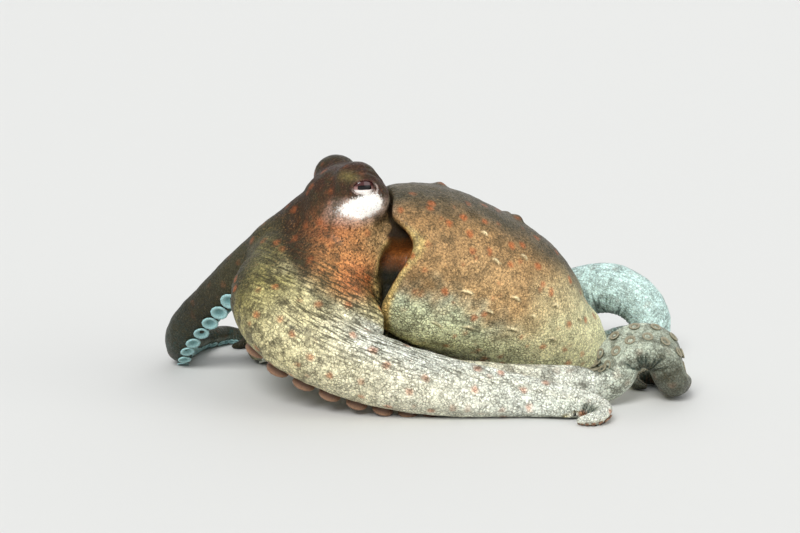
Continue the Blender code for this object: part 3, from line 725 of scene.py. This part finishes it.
# Arms: back and flanks by length, from the crown to the tip, and the paler sucker side.
ARM_TONES = {
    # The first left arm's dark tones are partly its own dark teal and partly painted shade.
    "L1": ((50, "olive dark"), (90, "dark"), (140, "teal"), (240, "dark")),
    "L2": ((40, "bulge"), (75, "cream"), (130, "pale"), (200, "cyan white"), (275, "hump")),
    "L3": ((60, "cream"), (110, "pale"), (170, "cyan white"), (200, "hump"), (250, "hump"),
           (323, "grey green")),
    "R3": ((60, "olive"), (140, "grey green"), (190, "cyan"), (300, "cyan"), (363, "grey green")),
}
OTHER_ARMS = ((60, "olive"), (110, "bulge"), (170, "hump"), (260, "grey green"))
SPOTTED = {"L2": 0.8, "L3": 0.15, "R3": 0.1, "L1": 0.15}
BLOTCHED = {"L2": 0.15, "R3": 0.25, "L1": 0.3}
for name in ARM_ORDER:
    run, radius, share, angle, _, squeeze = along_line(arms[name], points)
    run, radius = run / MM, radius / MM
    to_oral = np.maximum(-np.cos(np.radians(angle)), 1e-3)
    edge = np.minimum(1, ORAL_FLAT / to_oral)
    off = (share - edge) * radius
    weight = bell(np.maximum(np.abs(off), 0.9), 0.9, 2.2) * smooth(34, 78, run)
    nearer = (np.abs(off) < closest) & (weight > 0.4)
    seam = seam * (1 - 0.95 * bell(weight, 0.4, 0.16))
    closest = np.where(nearer, np.abs(off), closest)
    lie = np.where(nearer[:, None], np.stack([run, np.radians(angle) * radius, run * 0], axis=1), lie)
    arm = stops(run + 10 * wander, *ARM_TONES.get(name, OTHER_ARMS))
    oral = smooth(112, 140, np.abs(angle))
    # Painted shade: dark teal on the inside of tight bends, where the arm creases.
    arm = mixed(arm, "teal", 0.7 * smooth(0.16, 0.5, squeeze) * smooth(90, 140, run))
    if name == "L3":        # darker where it comes down again behind the bend
        # Painted shade: the arm is darkened where it comes down again behind the bend.
        arm = mixed(arm, "dark", 0.8 * smooth(206, 246, run + 8 * wander))
    if name == "L2":        # a cyan white band along the side that lies against the mantle
        arm = mixed(arm, "cyan white", smooth(20, -30, angle + 14 * wander) * smooth(70, 120, run))
        arm = mixed(arm, "mauve", 0.75 * smooth(96, 124, angle) * smooth(210, 150, run))
    arm = mixed(arm, "pale" if name in ("L2", "R3") else "hump", 0.45 * oral)
    colour += arm * weight[:, None]
    net += weight * (0.85 - 0.5 * oral) * {"R3": 0.4, "L3": 0.8, "L2": 0.85}.get(name, 1)
    spots += weight * (1 - oral) * SPOTTED.get(name, 0.3)
    grain += weight * 0.3
    blotch += weight * np.interp(run, [60, 130], [0.7, BLOTCHED.get(name, 0.5)])
    streaked = np.interp(run, [110, 200, 225, 260], [0.95, 0.5, 0.4, 0]) if name == "L2" else 0.25
    streak += weight * smooth(60, -20, angle) * streaked
    tight = smooth(-0.05, 0.16, squeeze) if name == "R3" else smooth(0.03, 0.26, squeeze)
    fan = np.maximum(fan, weight * tight * smooth(115, 150, run))
    total += weight

# Mantle.
run, radius, share, angle, past, _ = along_line(mantle_line, points)
round_mantle = np.abs(angle) + 9 * wander
length = run / mantle_line[-1].run
flank = stops(length + 0.06 * wander, (0.0, "front"), (0.25, "tan"), (0.45, "tan"), (0.66, "yellow"),
              (1.0, "low"))
mantle = mixed_row(
    flank, ("front", 0.6 * smooth(82, 50, round_mantle) * smooth(0.8, 0.5, length)),
    # Painted shade: the mantle's top and back are darkened, where less light falls.
    ("shaded mantle back", smooth(56, 26, round_mantle) * smooth(0.95, 0.6, length)),
    ("teal pale", 0.85 * smooth(92, 124, round_mantle + 10 * patches) * smooth(0.7, 0.3, length)),
    ("low", 0.85 * smooth(104, 128, round_mantle)),
    ("lip", smooth(4.2, 1.8, run / MM - lip_at(np.abs(angle))) * smooth(50, 66, np.abs(angle))))
off = (share - 1) * radius / MM
out = off - swelling(run, angle)
weight = smooth(4.5, 1.2, out) * smooth(-6, -3, past / MM) * smooth(-5.0, -2.5, off) * 2
deep, _, wall, turned = throat_of(points)
cup = smooth(-1.5, -3.0, out) * smooth(-3, 0, run / MM) * smooth(46, 30, run / MM)
inside = np.maximum(smooth(0.4, 0.85, deep), cup) * 6
weight *= 1 - np.minimum(inside / 6, 1)
# The inside of the groove behind the head and of the mantle's mouth: their own browns and orange, darkened
# toward the lower end by painted shade in the recess.
throat = stops(turned, (54, "brown"), (66, "throat"), (90, "slit"), (108, "dark"))
colour += mantle * weight[:, None] + throat * inside[:, None]
net += weight * (0.5 + 0.3 * smooth(98, 122, round_mantle))
spots += weight * (0.95 - 0.4 * smooth(40, 20, round_mantle))
grain += weight * 0.55 * (1 - 0.5 * smooth(0.5, 0.8, length))
blotch += weight * np.interp(length, [0.3, 0.8], [0.45, 0.12])
total += weight + inside
for layer in (net, spots, grain, streak, blotch):
    layer /= total
colour /= total[:, None]
streak *= seam
fan *= 1 - smooth(0, 1, weight + inside)
colour = mixed(colour, "lip", wall)

# Pale crests on the mantle's ridges with a painted shadow under each, and a small dark eye spot far back on
# its flank.
ridge_tops = np.zeros(count)
for arched, ends in ridge_fields(points):
    ridge_tops = np.maximum(ridge_tops, bell(arched, 0.2, 1) * ends)
    # Painted shadow under each ridge.
    colour = mixed(colour, "olive dark", 0.55 * bell(arched, -1.7, 1) * ends)
colour = mixed(colour, "ridge", 0.95 * ridge_tops)
net *= 1 - ridge_tops
for side in (1, -1):
    gap = np.linalg.norm(points - np.array(on_mantle(81, side * 57)[0]), axis=1) / MM
    colour = mixed(colour, "dark", 0.6 * bell(gap, 0, 3.0))

# Round the eyes: a maroon surround, a pale rim, and the bright white patch under each.
for side in (1, -1):
    local = (np.hstack([points, np.ones((count, 1))]) @ np.array(eye_frame(side).inverted()).T)[:, :3] / MM
    level, up, out = local.T
    outer = smooth(-10, -3, out)
    share = np.hypot(level / OPENING[0], up / OPENING[1])
    around = np.hypot(level / 15, (up - 2) / 10)
    patch = np.hypot((level + 0.8 - 0.55 * (up + 10)) / (10.5 - 0.35 * (up + 10)), (up + 10.2) / 7.2)
    white = np.maximum(white, outer * smooth(1.55, 0.45, patch + 0.12 * patches))
    ring = outer * bell(share, 1.07, 0.085)
    colour = mixed_row(
        colour, ("maroon", 0.85 * outer * smooth(1.15, 0.6, around + 0.15 * patches)),
        ("bulge", 0.35 * outer * bell(level, -8, 5) * bell(up, 6, 3)),
        ("rim", 0.45 * outer * smooth(2.1, 0.9, patch) * smooth(-4, -9, up)),
        ("rim", 0.85 * ring * smooth(2.5, -0.5, up - 0.25 * level)),
        ("lid", 0.9 * ring * smooth(0.0, 2.5, up - 0.25 * level)), ("lid", outer * smooth(1.0, 0.97, share)))
    for layer in (net, spots, grain, streak):
        layer *= 1 - ring * 0.85
    gloss = np.maximum(gloss, outer * smooth(1.4, 1.0, share))


def keep(mesh, name, kind, values):
    """Stores values on the mesh's points under a name that materials read."""
    layer = mesh.attributes.new(name, kind, "POINT")
    key = "vector" if kind == "FLOAT_VECTOR" else "color"
    if kind == "FLOAT_COLOR":
        values = np.hstack([values, np.ones((len(values), 1))])
    layer.data.foreach_set(key, np.ascontiguousarray(values, np.float32).ravel())


keep(skin_mesh, "tone", "FLOAT_COLOR", colour)
keep(skin_mesh, "marks", "FLOAT_COLOR", np.stack([net, spots, grain], axis=1))
keep(skin_mesh, "folds", "FLOAT_COLOR", np.stack([streak, fan, gloss], axis=1))
keep(skin_mesh, "bright", "FLOAT_COLOR", np.stack([white, ridge_tops, blotch], axis=1))
keep(skin_mesh, "lie", "FLOAT_VECTOR", lie)


def new_material(name, settings):
    """A material with its even numbers set. Returns it, its node tree and its shader's sockets."""
    material = bpy.data.materials.new(name)
    material.use_nodes = True
    sockets = material.node_tree.nodes["Principled BSDF"].inputs
    for key, value in settings.items():
        sockets[key].default_value = value
    return material, material.node_tree, sockets


def add(kind, *in_order, out=0, **by_name):
    """Adds a node to the tree in hand and returns one of its outputs. Its sockets are filled in
    order or by name, with a value or another node's output, and its options are set by name."""
    node = tree.nodes.new("ShaderNode" + kind)
    for key in [key for key in by_name if hasattr(node, key)]:
        setattr(node, key, by_name.pop(key))
    sockets = {socket.identifier: socket for socket in node.inputs}
    for key, value in (*zip(sockets, in_order), *by_name.items()):
        if isinstance(value, bpy.types.NodeSocket):
            tree.links.new(value, sockets[key])
        else:
            sockets[key].default_value = value
    return node.outputs[out]


def where(pattern, low, high, within=1.0, first=0.0, last=1.0):
    """How strongly a mark shows: from first to last as its pattern runs from low to high, within
    a field."""
    share = add("MapRange", pattern, low, high, first, last, interpolation_type="SMOOTHSTEP")
    return add("Math", share, within, operation="MULTIPLY")


def laid_over(under, *layers):
    """Lays tones over one another in turn: where each lies, how strongly, and its hex value."""
    for place, strength, tone in layers:
        share = add("Math", place, strength, operation="MULTIPLY")
        under = add("Mix", share, data_type="RGBA", A_Color=under, B_Color=(*linear(tone), 1), out=2)
    return under


CELL, FINE_CELL = 2.0, 1.25     # mm, between the dark lines of the net and of the finer one in it
SPOT_SPACING, SPOT_WIDE = 11.0, 4.6
GRAIN = 1.2
STREAK_LONG, STREAK_WIDE = 10.0, 1.5
CREASE_LONG, CREASE_WIDE = 16.0, 2.3
# Flesh lets a little light in, and bends it a little less than glass does.
FLESH = {"IOR": 1.38, "Subsurface Weight": 0.06, "Subsurface Radius": (1.0, 0.6, 0.35),
         "Subsurface Scale": 0.002}

# Octopus skin: wet, thin and slightly clear. It gives the eye a fine net of dark lines round
# small pale cells, orange spots, dark grains on the head, and a soft broken shine.
skin_paint, tree, shader = new_material("wet_octopus_skin", {
    **FLESH, "Specular IOR Level": 0.3, "Coat Weight": 0.06, "Coat Roughness": 0.25})
coords = add("TexCoord", out="Object")
net_in, spots_in, grain_in = add("SeparateColor", add("Attribute", attribute_name="marks"), out=slice(3))
streak_in, fan_in, gloss_in = add("SeparateColor", add("Attribute", attribute_name="folds"), out=slice(3))
white_in, tops_in, blotch_in = add("SeparateColor", add("Attribute", attribute_name="bright"), out=slice(3))
lie_in = add("Attribute", attribute_name="lie", out="Vector")

# The net's cells are bent a little out of true by a soft noise.
bent = add("TexNoise", coords, Scale=1 / (4 * MM), Detail=2.5, out="Color")
bent = add("VectorMath", bent, (0.5, 0.5, 0.5), operation="SUBTRACT")
bent = add("VectorMath", bent, Scale=3.0 * MM, operation="SCALE")
bent = add("VectorMath", coords, bent, operation="ADD")
cells = add("TexVoronoi", bent, Scale=1 / (CELL * MM), feature="DISTANCE_TO_EDGE")
fine = add("TexVoronoi", bent, Scale=1 / (FINE_CELL * MM), feature="DISTANCE_TO_EDGE")
cell_tint = add("TexVoronoi", bent, Scale=1 / (CELL * MM), feature="F1", out="Color")
cell_tint = add("SeparateColor", cell_tint)
spot = add("TexVoronoi", bent, Scale=1 / (SPOT_SPACING * MM), Randomness=0.9, feature="F1")
mottle = add("TexNoise", coords, Scale=1 / (8 * MM), Detail=5.0, Roughness=0.6)
wisps = add("TexNoise", coords, Scale=1 / (4.5 * MM), Detail=2.0)
grains = add("TexNoise", coords, Scale=1 / (GRAIN * MM), Detail=2.0, Roughness=0.7)
streaks = add("VectorMath", lie_in, (1 / STREAK_LONG, 1 / STREAK_WIDE, 1), operation="MULTIPLY")
streaks = add("TexNoise", streaks, Scale=1.0, Detail=3.0)
creases = add("VectorMath", lie_in, (1 / CREASE_WIDE, 1 / CREASE_LONG, 1), operation="MULTIPLY")
creases = add("TexNoise", creases, Scale=1.0, Detail=2.0)

net_line = where(cells, 0.02, 0.19, where(wisps, 0.34, 0.54, net_in, 0.25, 1.0), 1, 0)
# The finer net fades on the tops of the ridges and where the coarse one is strong.
off_tops = add("Math", 1.0, tops_in, operation="SUBTRACT")
off_net = add("Math", net_in, -0.7, 1.0, operation="MULTIPLY_ADD")
faded = add("Math", off_tops, off_net, operation="MULTIPLY")
fine_line = where(fine, 0.03, 0.22, where(mottle, 0.6, 0.42, faded, 0.35, 1.0), 1, 0)
spot_edge = 0.5 * SPOT_WIDE / SPOT_SPACING
dark_streak = where(streaks, 0.50, 0.60, streak_in)
pale_streak = where(streaks, 0.47, 0.36, streak_in)
crease = where(creases, 0.50, 0.60, fan_in)
ragged = add("Math", grains, 1.4, white_in, operation="MULTIPLY_ADD")

tinted = add("VectorMath", add("Attribute", attribute_name="tone"), operation="SCALE",
             Scale=where(cell_tint, 0.0, 1.0, 1.0, 0.9, 1.12))
tinted = laid_over(
    tinted,
    (where(mottle, 0.54, 0.36, blotch_in), 1.0, "33301f"),
    (where(cell_tint, 0.35, 0.0), 0.12, "3a3523"),
    (where(grains, 0.52, 0.62, grain_in), 0.70, "24150d"),
    (where(grains, 0.42, 0.32, grain_in), 0.22, "e0a468"),
    (where(spot, spot_edge - 0.13, spot_edge + 0.13, spots_in, 1, 0), 0.72, "d06f3a"),
    (dark_streak, 0.80, "3a3824"))
tinted = add("VectorMath", tinted, operation="SCALE",
             Scale=add("Math", pale_streak, 0.35, 1.0, operation="MULTIPLY_ADD"))
tinted = laid_over(
    tinted,
    # Painted shade: the folds on the inside of bends are darkened along their creases.
    (crease, 0.75, "1f3a36"),
    (fine_line, 0.50, "3b3520"),
    (net_line, 0.85, "332e19"),
    (where(ragged, 0.96, 1.44, where(white_in, 0.02, 0.16)), 1.0, "fbf7f0"))
tinted = add("VectorMath", tinted, operation="SCALE", Scale=where(grains, 0.34, 0.68, 1.0, 1.16, 0.80))
tree.links.new(tinted, shader["Base Color"])

height = where(cells, 0.0, 0.3, add("Math", net_in, 0.9, operation="MULTIPLY"))
for part, share in ((where(fine, 0.0, 0.3), 0.35), (add("Math", grains, grain_in, operation="MULTIPLY"), 1.2),
                    (crease, -1.6), (dark_streak, -0.6)):
    height = add("Math", part, share, height, operation="MULTIPLY_ADD")
bump = add("Bump", Strength=0.75, Distance=0.45 * MM, Height=height)
tree.links.new(bump, shader["Normal"])
shine = add("Math", gloss_in, -0.2, where(grains, 0.35, 0.65, 1.0, 0.40, 0.54), operation="MULTIPLY_ADD")
tree.links.new(shine, shader["Roughness"])


def painted(piece, paint, soft=True):
    """Gives a piece its material, and shades it soft or flat."""
    piece.data.polygons.foreach_set("use_smooth", [soft] * len(piece.data.polygons))
    piece.data.materials.append(paint)


skin = bpy.data.objects.new("skin", skin_mesh)
bpy.context.scene.collection.objects.link(skin)
skin_mesh.materials.clear()
painted(skin, skin_paint)
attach(skin, "root")
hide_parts(*(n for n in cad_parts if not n.startswith("eye")))

# ---- Suckers -----------------------------------------------------------------------------
# Two rows of suckers run down the flat side of each arm, side by side and out of step. Each
# is a short muscular stalk with a flared rim round a soft cup, which has a deep centre.

SUCKER_WIDE = {"L1": 0.38, "L2": 0.32, "L3": 0.25}      # a sucker's radius, as a share of the arm's
OTHER_WIDE = 0.27
SUCKER_STEP = 1.12              # from one to the next on the other row, in the sucker's radii
SUCKER_SUNK = 0.10              # how deep each is set in, as a share of the arm's radius
SUCKER_ROWS = 33                # degrees from the arm's flat side to each row
SUCKERS_TURN = {"L1": 34, "L2": 21, "L3": 8}       # how far both rows are rolled to the viewer's side
SUCKERS_STAND = {"L2": 0.28, "L3": 0.16}     # their height, as a share of the arm's radius
OTHER_STAND = 0.24
SUCKERS_START, SUCKERS_END = 30 * MM, 1 * MM       # from the crown, and short of the tip
STALK_FOOT = -0.35              # height where the stalk starts, inside the arm
# Rings up the stalk, over the rim and down the cup: radius and height, in the sucker's radii.
SUCKER_RINGS = [(0.80, 0.42), (1.0, 0.74), (0.95, 0.92), (0.72, 0.87), (0.34, 0.40)]
SUCKER_TONES = {
    "L1": ("3c5049", "a3cccc", "739f9f"), "L2": ("5f4434", "937159", "6a4e3b"),
    "L3": ("5f5e4c", "98927b", "5f5a47"), "R3": ("8fa79f", "cfe0d8", "8da59b"),
}
OTHER_SUCKERS = ("8d8a70", "d6d8c6", "968f78")

bm = bmesh.new()
ring = bmesh.ops.create_circle(bm, segments=12, radius=SUCKER_RINGS[0][0], cap_ends=True)["verts"]
bmesh.ops.translate(bm, verts=ring, vec=(0, 0, STALK_FOOT))
edges = bm.edges[:]
level, wide = STALK_FOOT, SUCKER_RINGS[0][0]
for radius, height in SUCKER_RINGS:
    edges, ring = grown(bm, edges)
    bmesh.ops.scale(bm, verts=ring, vec=(radius / wide, radius / wide, 1))
    bmesh.ops.translate(bm, verts=ring, vec=(0, 0, height - level))
    level, wide = height, radius
bmesh.ops.contextual_create(bm, geom=edges)
bmesh.ops.recalc_face_normals(bm, faces=bm.faces)
one_sucker = to_mesh("one_sucker", bm)
zone = one_sucker.attributes.new("zone", "FLOAT", "POINT")
# Zones: 0 on the stalk, 1 on the rim and 2 in the cup.
zone_of = [2.0 if v.co.xy.length < 0.7 else 1.0 if v.co.z > 0.6 else 0.0 for v in one_sucker.vertices]
zone.data.foreach_set("value", zone_of)

# Sucker skin: smooth, wet and paler than the arm, with a muted stalk and a light rim.
sucker_paint, tree, shader = new_material("sucker_skin", {**FLESH, "Roughness": 0.38})
grains = add("TexNoise", add("TexCoord", out="Object"), Scale=1 / (0.8 * MM), Detail=2.0)
tinted = laid_over(add("Attribute", attribute_name="tone"), (where(grains, 0.5, 0.66), 0.35, "4a3d2c"))
tree.links.new(tinted, shader["Base Color"])
bump = add("Bump", Strength=0.4, Distance=0.2 * MM, Height=grains)
tree.links.new(bump, shader["Normal"])

for name in ARM_ORDER:
    stations = arms[name]
    bm = bmesh.new()
    run, row = SUCKERS_START, 1
    across = frame_of(at_run(stations, 100 * MM)).to_3x3() @ Vector((1, 0, 0))
    near_side = -1 if across.y > 0 else 1
    while run < stations[-1].run - SUCKERS_END:
        here = at_run(stations, run)
        frame_here = frame_of(here).to_3x3().normalized().to_4x4()
        size = SUCKER_WIDE.get(name, OTHER_WIDE) * here.radius
        turn = math.radians(row * SUCKER_ROWS + near_side * SUCKERS_TURN.get(name, 0))
        out_to = min(1, ORAL_FLAT / max(math.cos(turn), 0.1)) - SUCKER_SUNK
        faces = turn * smooth(0.5, 1.1, abs(turn))
        off = Vector((math.sin(turn), math.cos(turn), 0)) * out_to * here.radius
        place = Matrix.Translation(here.place + frame_here.to_3x3() @ off) @ frame_here
        stand = SUCKERS_STAND.get(name, OTHER_STAND) * here.radius / size
        tilt = Matrix.Rotation(-faces, 4, "Z") @ Matrix.Rotation(math.radians(-90), 4, "X")
        mesh = one_sucker.copy()
        mesh.transform(place @ tilt @ Matrix.Diagonal((size, size, size * stand, 1)))
        bm.from_mesh(mesh)
        bpy.data.meshes.remove(mesh)
        run += SUCKER_STEP * size
        row = -row
    suckers = to_object(f"suckers_{name}", bm)
    mesh = suckers.data
    zones = np.empty(len(mesh.vertices), np.float32)
    mesh.attributes["zone"].data.foreach_get("value", zones)
    three = np.array([linear(text) for text in SUCKER_TONES.get(name, OTHER_SUCKERS)])
    keep(mesh, "tone", "FLOAT_COLOR", three[zones.round().astype(int)])
    painted(suckers, sucker_paint)
    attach(suckers, "root")

# ---- Eyes --------------------------------------------------------------------------------
# The ball is wet and hard to the look. A dark level slit of a pupil crosses a speckled iris, which is maroon
# above, with a painted highlight in white below.

PUPIL = (4.2, 1.3)             # half its length and height
FLECK = 0.55                    # mm, from one to the next
IRIS = {"upper": "45201f", "lower": "fbf6f0", "side": "96706a"}

# Wet eye: a clear hard gloss over an iris with fine dark flecks, which catches small bright lights.
eye_paint, tree, shader = new_material("wet_eye", {
    "Roughness": 0.16, "IOR": 1.38, "Coat Weight": 0.7, "Coat Roughness": 0.04})
flecks = add("TexVoronoi", add("TexCoord", out="Object"), Scale=1 / (FLECK * MM), feature="F1")
tinted = laid_over(add("Attribute", attribute_name="tone"), (where(flecks, 0.35, 0.15), 0.35, "3a1d18"))
tree.links.new(tinted, shader["Base Color"])

# Pupil black: the open pupil, nearly black, with a little of the eye's wet shine.
pupil_paint = new_material("pupil_black", {
    "Base Color": (*linear("0b0808"), 1), "Roughness": 0.2, "Specular IOR Level": 0.35})[0]

for side, word in ((1, "left"), (-1, "right")):
    bm = bmesh.new()
    bmesh.ops.create_uvsphere(bm, u_segments=64, v_segments=48, radius=EYE_BALL)
    local = np.array([v.co for v in bm.verts])
    bmesh.ops.transform(bm, verts=bm.verts, matrix=eye_frame(side) @ Matrix.Scale(MM, 4))
    eye = to_object(f"eyeball_{word}", bm)
    level, up, out = local.T
    tones = {key: np.array(linear(text)) for key, text in IRIS.items()}
    shade = mixed(np.tile(tones["side"], (len(local), 1)), tones["upper"], smooth(0.2, 1.6, up + 0.25))
    # The white below is a painted highlight.
    shade = mixed(shade, tones["lower"], smooth(-0.9, -1.7, up))
    keep(eye.data, "tone", "FLOAT_COLOR", shade)
    painted(eye, eye_paint)
    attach(eye, "root")
    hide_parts(f"eye_{word}")

    bm = bmesh.new()
    bmesh.ops.create_grid(bm, x_segments=40, y_segments=10, size=1)
    for vert in bm.verts:
        x, y = vert.co.x, vert.co.y
        droop = 0.35 * (x * x - 0.4)
        narrow = (1 - abs(x) ** 6) ** 0.5 if abs(x) < 1 else 0
        level, up = x * PUPIL[0], y * PUPIL[1] * (0.35 + 0.65 * narrow) - droop * 0.5 + 0.1
        vert.co = (level, up, math.sqrt((EYE_BALL + 0.04) ** 2 - level ** 2 - up ** 2))
    bmesh.ops.solidify(bm, geom=bm.faces[:], thickness=0.3)
    bmesh.ops.transform(bm, verts=bm.verts, matrix=eye_frame(side) @ Matrix.Scale(MM, 4))
    pupil = to_object(f"pupil_{word}", bm)
    painted(pupil, pupil_paint, soft=False)
    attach(pupil, "root")

# ---- Floor, light and camera -------------------------------------------------------------
# A plain pale studio: one wide floor, a large soft light in front and above, and softer ones
# beside and behind.

FLOOR_HALF = 60                 # metres, so that no edge shows
FLOOR_CLEAR = 0.3 * MM          # under the part, so that no faces share a plane
# Lights: name, where each comes from, its strength, and its width in degrees.
LIGHTS = (("key", (-0.30, -1.0, 0.85), 2.6, 25), ("side", (1.0, -0.6, 0.45), 0.9, 50),
          ("back", (0.2, 1.0, 0.7), 0.5, 60))
ELEVATION = math.radians(10)
DISTANCE, VIEW_WIDE = 1.1, 0.480           # metres, and what the camera takes in at that distance
LOOK_AT = Vector((-0.015, 0, 0.07585))     # in the drawing's axes
SENSOR = 36

bm = bmesh.new()
bmesh.ops.create_grid(bm, x_segments=1, y_segments=1, size=FLOOR_HALF)
floor = to_object("floor", bm)
floor.data.transform(Matrix.Translation((0, 0, -FLOOR_CLEAR)))
# Studio floor: matt pale paper, which takes a soft shadow and no shine.
paper = new_material("studio_floor", {"Base Color": (*linear("d9d9d6"), 1), "Roughness": 0.9})[0]
floor.data.materials.append(paper)

world = bpy.context.scene.world or bpy.data.worlds.new("studio")
bpy.context.scene.world = world
world.use_nodes = True
world.node_tree.nodes["Background"].inputs["Color"].default_value = (0.95, 0.97, 1.0, 1)
world.node_tree.nodes["Background"].inputs["Strength"].default_value = 0.5

for name, place, power, wide in LIGHTS:
    light = bpy.data.lights.new(name, "SUN")
    light.energy = power
    light.angle = math.radians(wide)
    lamp = bpy.data.objects.new(name, light)
    lamp.location = place
    lamp.rotation_mode = "QUATERNION"
    lamp.rotation_quaternion = Vector(place).to_track_quat("Z", "Y")
    bpy.context.scene.collection.objects.link(lamp)
bpy.context.scene.view_settings.view_transform = "Standard"

camera = bpy.data.objects.new("camera", bpy.data.cameras.new("camera"))
camera.data.sensor_width = SENSOR
camera.data.lens = SENSOR * DISTANCE / VIEW_WIDE
camera.data.clip_start = 0.01
back = Vector((0, -math.cos(ELEVATION), math.sin(ELEVATION)))
camera.location = LOOK_AT + SHIFT + back * DISTANCE
camera.rotation_mode = "QUATERNION"
camera.rotation_quaternion = (-back).to_track_quat("-Z", "Y")
bpy.context.scene.collection.objects.link(camera)
bpy.context.scene.camera = camera
